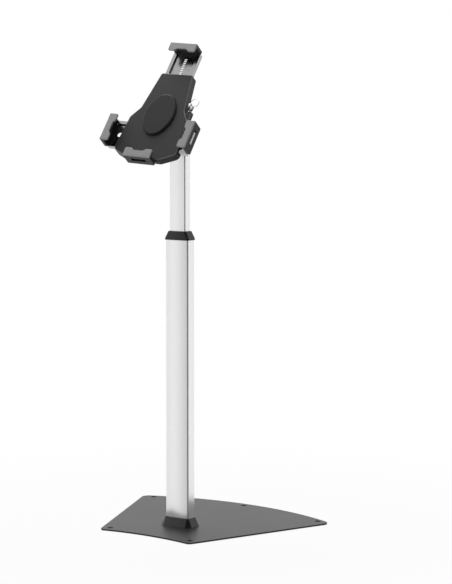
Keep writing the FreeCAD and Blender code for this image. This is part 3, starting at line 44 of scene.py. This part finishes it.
# The clamp's own axes, from the joints that move along them, and the middle of its face
JOINTS = {joint["name"]: joint for joint in frame["joints"]}
HOLDER_RIGHT = Vector(JOINTS["side_arm_slide"]["axis"])
HOLDER_UP = Vector(JOINTS["top_arm_slide"]["axis"])
HOLDER_OUT = Vector(JOINTS["clamp_turn"]["axis"])
HOUSING_DEEP = 16.0 * MM
HOLDER_MIDDLE = Vector(JOINTS["clamp_turn"]["pos_m"]) + HOLDER_OUT * HOUSING_DEEP

# Pressed bars on the side arms, placed across, along and out of the clamp's face
BAR_INNER = 91.45 * MM
BAR_OUTER = 94.6 * MM
BAR_CENTRE = -47.0 * MM
BAR_LONG = 27.0 * MM
BAR_LOW = 2.0 * MM
BAR_HIGH = 8.6 * MM
BAR_ROUND = 0.5 * MM
BAR_ROUND_STEPS = 3
BAR_RIM = 0.5 * MM
BAR_DISH = 0.25 * MM
FACES_OUT = 0.99

# Camera
EYE = Vector((2.2634, -3.0558, 0.8519))
LOOK_TURNED = math.radians(35.175)
LOOK_DOWN = math.radians(3.0)
LENS = 120.6
SENSOR = 36.0
SHIFT_UP = -0.1664
SEEN_FAR = 50.0

# Lamps: where they hang, how wide they are and how many watts they give
OVERHEAD_PLACE = Vector((-0.9, 0.6, 3.1))
OVERHEAD_WIDE = 1.6
OVERHEAD_LEVEL = 56.0
LEFT_PLACE = Vector((-3.6, -0.9, 2.2))
LEFT_WIDE = 2.4
LEFT_LEVEL = 32.0
RIM_PLACE = Vector((2.2, -0.3, 2.5))
RIM_WIDE = 0.5
RIM_LEVEL = 5.0
STAND_MIDDLE = Vector((0.0, 0.0, 0.5))
CLAMP_MIDDLE = Vector((0.0, -0.06, 0.83))

# World and floor
WORLD_LEVEL = 0.3
WHITE_LEVEL = 1.0
FLOOR_HALF = 60.0
FLOOR_SHARE = 0.8
FLOOR_ROUGH = 0.9
FLOOR_WHITE = 0.93
SHADOW_NEAR = 0.3
SHADOW_FAR = 1.1

# The screen that only reflections see: its ends and its shades from end to end, by angle
SCREEN_REACH = 0.45
SCREEN_LOW = -0.1
SCREEN_HIGH = 1.8
SCREEN_FIRST = math.radians(-145.0)
SCREEN_LAST = math.radians(55.0)
SCREEN_STEPS = 20
SCREEN_STOPS = (
    (-145.0, 0.86), (-129.0, 1.0), (-112.0, 0.76), (-98.0, 0.12), (8.0, 0.12), (44.0, 1.0))

# Sockets that a mix node of colours is known by
MIX_SHARE = 0
MIX_FIRST = 6
MIX_SECOND = 7
MIX_COLOUR = 2

BEVEL_SAMPLES = 4
BROAD_SCALE = 38.0
BROAD_DETAIL = 4.0
MARKS_ROUGHNESS = 0.6


# Objects and node trees

def add_object(name, content):
    """An object for a mesh, a lamp or a camera, linked into the scene."""
    added = bpy.data.objects.new(name, content)
    bpy.context.collection.objects.link(added)
    return added


def empty_tree(owner, output_kind):
    """The node tree of a material or world, emptied, and the surface socket of its output."""
    owner.use_nodes = True
    tree = owner.node_tree
    tree.nodes.clear()
    output = tree.nodes.new(output_kind)
    return tree, output.inputs["Surface"]


def new_material(name):
    material = bpy.data.materials.new(name)
    tree, surface = empty_tree(material, "ShaderNodeOutputMaterial")
    return material, tree, surface


def new_coat(name, specular=0.5, metallic=0.0):
    """A material with one Principled shader."""
    material, tree, surface = new_material(name)
    shader = tree.nodes.new("ShaderNodeBsdfPrincipled")
    shader.inputs["Specular IOR Level"].default_value = specular
    shader.inputs["Metallic"].default_value = metallic
    tree.links.new(shader.outputs["BSDF"], surface)
    return material, tree, shader


def dress(tree, shader, colour, rough, normal):
    """Links a colour, a roughness and a normal to a shader."""
    tree.links.new(colour, shader.inputs["Base Color"])
    tree.links.new(rough, shader.inputs["Roughness"])
    tree.links.new(normal, shader.inputs["Normal"])


# Node helpers

def object_coordinates(tree, scale=(1.0, 1.0, 1.0)):
    """The object's own coordinates, scaled."""
    source = tree.nodes.new("ShaderNodeTexCoord")
    mapping = tree.nodes.new("ShaderNodeMapping")
    mapping.inputs["Scale"].default_value = scale
    tree.links.new(source.outputs["Object"], mapping.inputs["Vector"])
    return mapping.outputs["Vector"]


def noise(tree, where, scale, detail, roughness=0.5):
    node = tree.nodes.new("ShaderNodeTexNoise")
    node.inputs["Scale"].default_value = scale
    node.inputs["Detail"].default_value = detail
    node.inputs["Roughness"].default_value = roughness
    tree.links.new(where, node.inputs["Vector"])
    return node.outputs["Fac"]


def mapped(tree, value, start=0.0, end=1.0, low=0.0, high=1.0, way="LINEAR"):
    """Maps a value from start..end to low..high, and holds it there."""
    node = tree.nodes.new("ShaderNodeMapRange")
    node.interpolation_type = way
    node.inputs["From Min"].default_value = start
    node.inputs["From Max"].default_value = end
    node.inputs["To Min"].default_value = low
    node.inputs["To Max"].default_value = high
    tree.links.new(value, node.inputs["Value"])
    return node.outputs["Result"]


def combined(tree, operation, first, second):
    """Two numbers put together, held between 0 and 1."""
    node = tree.nodes.new("ShaderNodeMath")
    node.operation = operation
    node.use_clamp = True
    tree.links.new(first, node.inputs[0])
    tree.links.new(second, node.inputs[1])
    return node.outputs[0]


def lean_from(tree, direction):
    """A node that measures how far its second input leans from a direction."""
    node = tree.nodes.new("ShaderNodeVectorMath")
    node.operation = "DOT_PRODUCT"
    tree.links.new(direction, node.inputs[0])
    return node


def tint(tree, value, dark, light):
    """A colour between two colours."""
    node = tree.nodes.new("ShaderNodeMix")
    node.data_type = "RGBA"
    tree.links.new(value, node.inputs[MIX_SHARE])
    node.inputs[MIX_FIRST].default_value = (*dark, 1.0)
    node.inputs[MIX_SECOND].default_value = (*light, 1.0)
    return node.outputs[MIX_COLOUR]


def overlaid(tree, colour, mask, other):
    """The colour, and another where the mask is 1."""
    node = tree.nodes.new("ShaderNodeMix")
    node.data_type = "RGBA"
    tree.links.new(mask, node.inputs[MIX_SHARE])
    tree.links.new(colour, node.inputs[MIX_FIRST])
    node.inputs[MIX_SECOND].default_value = (*other, 1.0)
    return node.outputs[MIX_COLOUR]


def soft_edges(tree, radius):
    """A normal that rounds sharp edges by a radius."""
    node = tree.nodes.new("ShaderNodeBevel")
    node.samples = BEVEL_SAMPLES
    node.inputs["Radius"].default_value = radius
    return node.outputs["Normal"]


def bump(tree, height, strength, distance, normal):
    node = tree.nodes.new("ShaderNodeBump")
    node.inputs["Strength"].default_value = strength
    node.inputs["Distance"].default_value = distance
    tree.links.new(height, node.inputs["Height"])
    tree.links.new(normal, node.inputs["Normal"])
    return node.outputs["Normal"]


def edge_mask(tree, radius):
    """1 on sharp edges and 0 on flat faces, from how far the rounded normal leans."""
    lean = lean_from(tree, soft_edges(tree, radius))
    geometry = tree.nodes.new("ShaderNodeNewGeometry")
    tree.links.new(geometry.outputs["Normal"], lean.inputs[1])
    return mapped(tree, lean.outputs["Value"], start=0.99, end=0.75)


def bevel_highlight_mask(tree):
    """Where the bevel gets its painted highlight: 1 where a face leans halfway between the clamp's front and
    its sides, else 0.
    """
    source = tree.nodes.new("ShaderNodeTexCoord")
    lean = lean_from(tree, source.outputs["Normal"])
    lean.inputs[1].default_value = HOLDER_OUT
    not_front = mapped(tree, lean.outputs["Value"], start=0.95, end=0.85)
    not_side = mapped(tree, lean.outputs["Value"], start=0.3, end=0.5)
    return combined(tree, "MULTIPLY", not_front, not_side)


def shade(level):
    """A grey from its level between 0 and 255, by the standard sRGB curve."""
    part = level / 255.0
    if part <= 0.04045:
        linear = part / 12.92
    else:
        linear = ((part + 0.055) / 1.055) ** 2.4
    return (linear, linear, linear)


# Plastics, rubbers and castings

# Most finishes here paint their sharp edges lighter as a painted highlight; the cap paints its edges darker
# as painted shade.
def grained(name, level, variation, grain, depth, rough, edge, shine, painted_edge_light):
    """A moulded or cast surface: fine grain, faint mottling, and sharp edges with painted light: lighter as
    a painted highlight, darker as painted shade when that shift is below 0.
    """
    material, tree, shader = new_coat(name, specular=shine)
    where = object_coordinates(tree)
    broad = noise(tree, where, BROAD_SCALE, BROAD_DETAIL)
    fine = noise(tree, where, grain, detail=2.0)
    colour = tint(tree, broad, shade(level - variation), shade(level + variation))
    # Painted light on the edges: sharp edges shifted by the given levels, lighter as a painted highlight,
    # darker as painted shade below 0.
    colour = overlaid(tree, colour, edge_mask(tree, edge), shade(level + painted_edge_light))
    mottled = mapped(tree, broad, low=rough - 0.05, high=rough + 0.05)
    normal = bump(tree, fine, 0.35, depth, soft_edges(tree, edge))
    dress(tree, shader, colour, mottled, normal)
    return material


# The cap's rim gets painted shade: its sharp edges are painted 12 levels darker.
def cap_plastic():
    return grained(
        "cap_plastic", level=45, variation=2, grain=3400.0, depth=0.03 * MM,
        rough=0.52, edge=0.5 * MM, shine=0.2, painted_edge_light=-12)


def jaw_plastic():
    return grained(
        "jaw_plastic", level=21, variation=2, grain=2400.0, depth=0.05 * MM,
        rough=0.42, edge=0.5 * MM, shine=0.28, painted_edge_light=34)


def lip_rubber():
    return grained(
        "lip_rubber", level=176, variation=4, grain=1900.0, depth=0.06 * MM,
        rough=0.68, edge=0.6 * MM, shine=0.2, painted_edge_light=10)


def collar_plastic():
    return grained(
        "collar_plastic", level=20, variation=2, grain=2200.0, depth=0.03 * MM,
        rough=0.24, edge=0.5 * MM, shine=0.45, painted_edge_light=26)


def black_casting():
    return grained(
        "black_casting", level=42, variation=4, grain=1200.0, depth=0.12 * MM,
        rough=0.42, edge=0.6 * MM, shine=0.4, painted_edge_light=18)


def pad_rubber():
    return grained(
        "pad_rubber", level=34, variation=2, grain=1500.0, depth=0.1 * MM,
        rough=0.8, edge=0.3 * MM, shine=0.2, painted_edge_light=6)


def white_nylon():
    return grained(
        "white_nylon", level=226, variation=4, grain=900.0, depth=0.03 * MM,
        rough=0.4, edge=0.3 * MM, shine=0.4, painted_edge_light=4)


def black_nylon():
    return grained(
        "black_nylon", level=40, variation=2, grain=900.0, depth=0.03 * MM,
        rough=0.4, edge=0.3 * MM, shine=0.35, painted_edge_light=8)


def cover_plastic():
    """Fine-grained moulded plastic, with a painted highlight along the bevel round its face."""
    material, tree, shader = new_coat("cover_plastic", specular=0.3)
    where = object_coordinates(tree)
    broad = noise(tree, where, BROAD_SCALE, BROAD_DETAIL)
    fine = noise(tree, where, scale=2600.0, detail=2.0)
    colour = tint(tree, broad, shade(43), shade(49))
    # Painted highlight: the bevel round the face is painted a lighter grey, as if it caught the light.
    colour = overlaid(tree, colour, bevel_highlight_mask(tree), shade(128))
    rough = mapped(tree, broad, low=0.47, high=0.55)
    normal = bump(tree, fine, 0.35, 0.08 * MM, soft_edges(tree, 0.3 * MM))
    dress(tree, shader, colour, rough, normal)
    return material


def powder_coat():
    """Fine orange peel under a satin coat, with tiny lighter flecks and a painted highlight on its sharp
    edges.
    """
    material, tree, shader = new_coat("powder_coat", specular=0.16)
    where = object_coordinates(tree)
    broad = noise(tree, where, scale=9.0, detail=3.0)
    peel = noise(tree, where, scale=900.0, detail=3.0)
    flecks = noise(tree, where, scale=3200.0, detail=1.0)
    colour = tint(tree, broad, shade(54), shade(59))
    colour = overlaid(tree, colour, mapped(tree, flecks, 0.66, 0.74, high=0.35), shade(120))
    # Painted highlight: sharp edges painted a lighter grey.
    colour = overlaid(tree, colour, edge_mask(tree, 0.5 * MM), shade(104))
    rough = mapped(tree, broad, low=0.31, high=0.37)
    normal = bump(tree, peel, 0.25, 0.05 * MM, soft_edges(tree, 0.4 * MM))
    dress(tree, shader, colour, rough, normal)
    return material


# Bare metals

def anodised():
    """Extruded aluminium with fine marks along its length under a satin anodised skin."""
    material, tree, shader = new_coat("anodised_tube", metallic=0.75)
    along = object_coordinates(tree, scale=(1.0, 1.0, 0.012))
    marks = noise(tree, along, 1400.0, 4.0, MARKS_ROUGHNESS)
    broad = noise(tree, object_coordinates(tree, scale=(1.0, 1.0, 0.15)), scale=60.0, detail=3.0)
    colour = tint(tree, broad, shade(247), shade(252))
    rough = mapped(tree, marks, low=0.14, high=0.22)
    normal = bump(tree, marks, 0.05, 0.02 * MM, soft_edges(tree, 0.4 * MM))
    dress(tree, shader, colour, rough, normal)
    return material


def metal(name, level, rough, marks_scale, warm=0.0):
    """A bright metal with fine turned or rolled marks, from grey to the yellow of brass."""
    material, tree, shader = new_coat(name, metallic=1.0)
    marks = noise(tree, object_coordinates(tree), marks_scale, 4.0, MARKS_ROUGHNESS)
    red, green, blue = shade(level)
    base = (red, green * (1.0 - warm * 0.25), blue * (1.0 - warm * 0.7))
    dark = tuple(part * 0.86 for part in base)
    colour = tint(tree, marks, dark, base)
    marked = mapped(tree, marks, low=rough - 0.06, high=rough + 0.08)
    normal = bump(tree, marks, 0.12, 0.03 * MM, soft_edges(tree, 0.25 * MM))
    dress(tree, shader, colour, marked, normal)
    return material


def zinc_sheet():
    """Cold-rolled sheet with a satin zinc skin: faint grain one way and soft cloudy patches."""
    material, tree, shader = new_coat("zinc_sheet", metallic=1.0)
    grain_way = object_coordinates(tree, scale=(1.0, 0.06, 0.06))
    grain = noise(tree, grain_way, scale=1600.0, detail=3.0)
    clouds = noise(tree, object_coordinates(tree), scale=120.0, detail=3.0)
    colour = tint(tree, clouds, shade(160), shade(176))
    rough = mapped(tree, clouds, low=0.16, high=0.26)
    normal = bump(tree, grain, 0.05, 0.02 * MM, soft_edges(tree, 0.3 * MM))
    dress(tree, shader, colour, rough, normal)
    return material


FINISHES = {
    "plate_coat": powder_coat(),
    "tube_metal": anodised(),
    "collar_plastic": collar_plastic(),
    "cover_plastic": cover_plastic(),
    "cap_plastic": cap_plastic(),
    "jaw_plastic": jaw_plastic(),
    "lip_rubber": lip_rubber(),
    "arm_steel": zinc_sheet(),
    "joint_metal": black_casting(),
    "black_screws": metal("black_oxide", level=70, rough=0.35, marks_scale=900.0),
    "zinc_steel": metal("zinc_steel", level=205, rough=0.3, marks_scale=700.0),
    "bright_nickel": metal("bright_nickel", level=225, rough=0.14, marks_scale=500.0),
    "white_nylon": white_nylon(),
    "black_nylon": black_nylon(),
    "knob_plastic": collar_plastic(),
    "pad_rubber": pad_rubber(),
    "brass": metal("brass", level=215, rough=0.3, marks_scale=700.0, warm=1.0),
}


def dress_frame():
    """Gives each carried-over piece the finish of its record slot."""
    slots = {part["node"]: part["material_slot"] for part in frame["record"]["subparts"]}
    for name, piece in frame["nodes"].items():
        for place in piece.material_slots:
            place.material = FINISHES[slots[name]]


dress_frame()


# Bars in the windows of the side jaws

def on_clamp(across, along, out):
    """A point in the clamp's own axes."""
    return HOLDER_MIDDLE + HOLDER_RIGHT * across + HOLDER_UP * along + HOLDER_OUT * out


def window_bar(side, name):
    """A pressed bar with round edges and a shallow dish along its outer face."""
    shape = bmesh.new()
    bmesh.ops.create_cube(shape, size=1.0)
    for point in shape.verts:
        across = (BAR_INNER + BAR_OUTER) / 2 + point.co.x * (BAR_OUTER - BAR_INNER)
        along = BAR_CENTRE + point.co.y * BAR_LONG
        out = (BAR_LOW + BAR_HIGH) / 2 + point.co.z * (BAR_HIGH - BAR_LOW)
        point.co = (across, along, out)
    bmesh.ops.bevel(
        shape, geom=shape.edges[:], offset=BAR_ROUND, segments=BAR_ROUND_STEPS,
        profile=0.5, affect="EDGES")
    outer = [face for face in shape.faces if face.normal.x > FACES_OUT]
    bmesh.ops.inset_region(shape, faces=outer, thickness=BAR_RIM)
    for point in {corner for face in outer for corner in face.verts}:
        point.co.x -= BAR_DISH
    for point in shape.verts:
        point.co = on_clamp(side * point.co.x, point.co.y, point.co.z)
    bmesh.ops.recalc_face_normals(shape, faces=shape.faces[:])
    mesh = bpy.data.meshes.new(name)
    shape.to_mesh(mesh)
    shape.free()
    mesh.materials.append(FINISHES["arm_steel"])
    return add_object(name, mesh)


for side, arm in ((1, "right_arm"), (-1, "left_arm")):
    window = window_bar(side, arm.replace("arm", "window_bar"))
    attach(window, arm)


# Studio

def mixed(tree, share, first, second):
    """Two surfaces mixed: the second one where the share is 1."""
    node = tree.nodes.new("ShaderNodeMixShader")
    tree.links.new(share, node.inputs[0])
    tree.links.new(first, node.inputs[1])
    tree.links.new(second, node.inputs[2])
    return node.outputs[0]


def seen_directly(tree):
    """1 for rays from the camera, from a reflection or through glass."""
    path = tree.nodes.new("ShaderNodeLightPath")
    open_rays = combined(
        tree, "ADD", path.outputs["Is Camera Ray"], path.outputs["Is Glossy Ray"])
    return combined(tree, "ADD", open_rays, path.outputs["Is Transmission Ray"])


def background(tree, level):
    node = tree.nodes.new("ShaderNodeBackground")
    node.inputs["Color"].default_value = (1.0, 1.0, 1.0, 1.0)
    node.inputs["Strength"].default_value = level
    return node.outputs[0]


def white_world():
    """White to the camera, in reflections and through glass, and a plain level for the rest."""
    world = bpy.data.worlds.new("studio")
    bpy.context.scene.world = world
    tree, surface = empty_tree(world, "ShaderNodeOutputWorld")
    light = mixed(
        tree, seen_directly(tree), background(tree, WORLD_LEVEL), background(tree, WHITE_LEVEL))
    tree.links.new(light, surface)


def floor_paint():
    """A pale floor near the stand that turns into plain white further out."""
    material, tree, surface = new_material("floor")
    pale = tree.nodes.new("ShaderNodeBsdfPrincipled")
    pale.inputs["Base Color"].default_value = (FLOOR_SHARE, FLOOR_SHARE, FLOOR_SHARE, 1.0)
    pale.inputs["Roughness"].default_value = FLOOR_ROUGH
    pale.inputs["Specular IOR Level"].default_value = 0.0
    white = tree.nodes.new("ShaderNodeEmission")
    white.inputs["Strength"].default_value = WHITE_LEVEL
    away = tree.nodes.new("ShaderNodeVectorMath")
    away.operation = "LENGTH"
    tree.links.new(object_coordinates(tree), away.inputs[0])
    whiter = mapped(
        tree, away.outputs["Value"], SHADOW_NEAR, SHADOW_FAR, low=FLOOR_WHITE, way="SMOOTHSTEP")
    share = combined(tree, "MULTIPLY", whiter, seen_directly(tree))
    tree.links.new(mixed(tree, share, pale.outputs[0], white.outputs[0]), surface)
    return material


def floor():
    """A wide floor with a faint shadow. Reflections pass through it to the white world."""
    mesh = bpy.data.meshes.new("floor")
    corners = [(x * FLOOR_HALF, y * FLOOR_HALF, 0.0) for x, y in ((-1, -1), (1, -1), (1, 1), (-1, 1))]
    mesh.from_pydata(corners, [], [(0, 1, 2, 3)])
    mesh.materials.append(floor_paint())
    ground = add_object("floor", mesh)
    ground.visible_glossy = False


def screen_part(turn):
    """How far along the screen an angle lies, from 0 to 1."""
    return (turn - SCREEN_FIRST) / (SCREEN_LAST - SCREEN_FIRST)


def screen_paint():
    """Light that is graded by the angle round the stand."""
    material, tree, surface = new_material("graded_screen")
    parts = tree.nodes.new("ShaderNodeSeparateXYZ")
    tree.links.new(object_coordinates(tree), parts.inputs[0])
    turn = tree.nodes.new("ShaderNodeMath")
    turn.operation = "ARCTAN2"
    tree.links.new(parts.outputs["Y"], turn.inputs[0])
    tree.links.new(parts.outputs["X"], turn.inputs[1])
    ramp = tree.nodes.new("ShaderNodeValToRGB")
    tree.links.new(mapped(tree, turn.outputs[0], SCREEN_FIRST, SCREEN_LAST), ramp.inputs["Fac"])
    stops = ramp.color_ramp.elements
    while len(stops) < len(SCREEN_STOPS):
        stops.new(0.5)
    for stop, (turned, level) in zip(stops, SCREEN_STOPS):
        stop.position = screen_part(math.radians(turned))
        stop.color = (level, level, level, 1.0)
    light = tree.nodes.new("ShaderNodeEmission")
    tree.links.new(ramp.outputs["Color"], light.inputs["Color"])
    tree.links.new(light.outputs[0], surface)
    return material


def graded_screen():
    """A curved screen round the front, dark in the middle and white at its ends.

    Only reflections see it. It draws the dark line down the round corners of the tubes.
    """
    points = []
    for number in range(SCREEN_STEPS + 1):
        turn = SCREEN_FIRST + (SCREEN_LAST - SCREEN_FIRST) * number / SCREEN_STEPS
        across = SCREEN_REACH * math.cos(turn)
        along = SCREEN_REACH * math.sin(turn)
        points += [(across, along, SCREEN_LOW), (across, along, SCREEN_HIGH)]
    faces = [(2 * n, 2 * n + 2, 2 * n + 3, 2 * n + 1) for n in range(SCREEN_STEPS)]
    mesh = bpy.data.meshes.new("graded_screen")
    mesh.from_pydata(points, [], faces)
    mesh.materials.append(screen_paint())
    screen = add_object("graded_screen", mesh)
    screen.visible_camera = False
    screen.visible_diffuse = False
    screen.visible_shadow = False
    screen.visible_transmission = False


def lamp(name, place, wide, level, towards):
    """A square soft lamp that faces a point."""
    light = bpy.data.lights.new(name, "AREA")
    light.shape = "SQUARE"
    light.size = wide
    light.energy = level
    holder = add_object(name, light)
    holder.location = place
    holder.rotation_euler = (towards - place).to_track_quat("-Z", "Y").to_euler()
    return holder


def camera():
    view = bpy.data.cameras.new("camera")
    view.sensor_width = SENSOR
    view.sensor_fit = "AUTO"
    view.lens = LENS
    view.shift_y = SHIFT_UP
    view.clip_end = SEEN_FAR
    holder = add_object("camera", view)
    holder.location = EYE
    holder.rotation_euler = (math.pi / 2 - LOOK_DOWN, 0.0, LOOK_TURNED)
    bpy.context.scene.camera = holder


white_world()
floor()
graded_screen()
lamp("overhead", OVERHEAD_PLACE, OVERHEAD_WIDE, OVERHEAD_LEVEL, STAND_MIDDLE)
lamp("left", LEFT_PLACE, LEFT_WIDE, LEFT_LEVEL, STAND_MIDDLE)
rim = lamp("rim", RIM_PLACE, RIM_WIDE, RIM_LEVEL, CLAMP_MIDDLE)
rim.visible_diffuse = False
camera()
bpy.context.scene.view_settings.view_transform = "Standard"
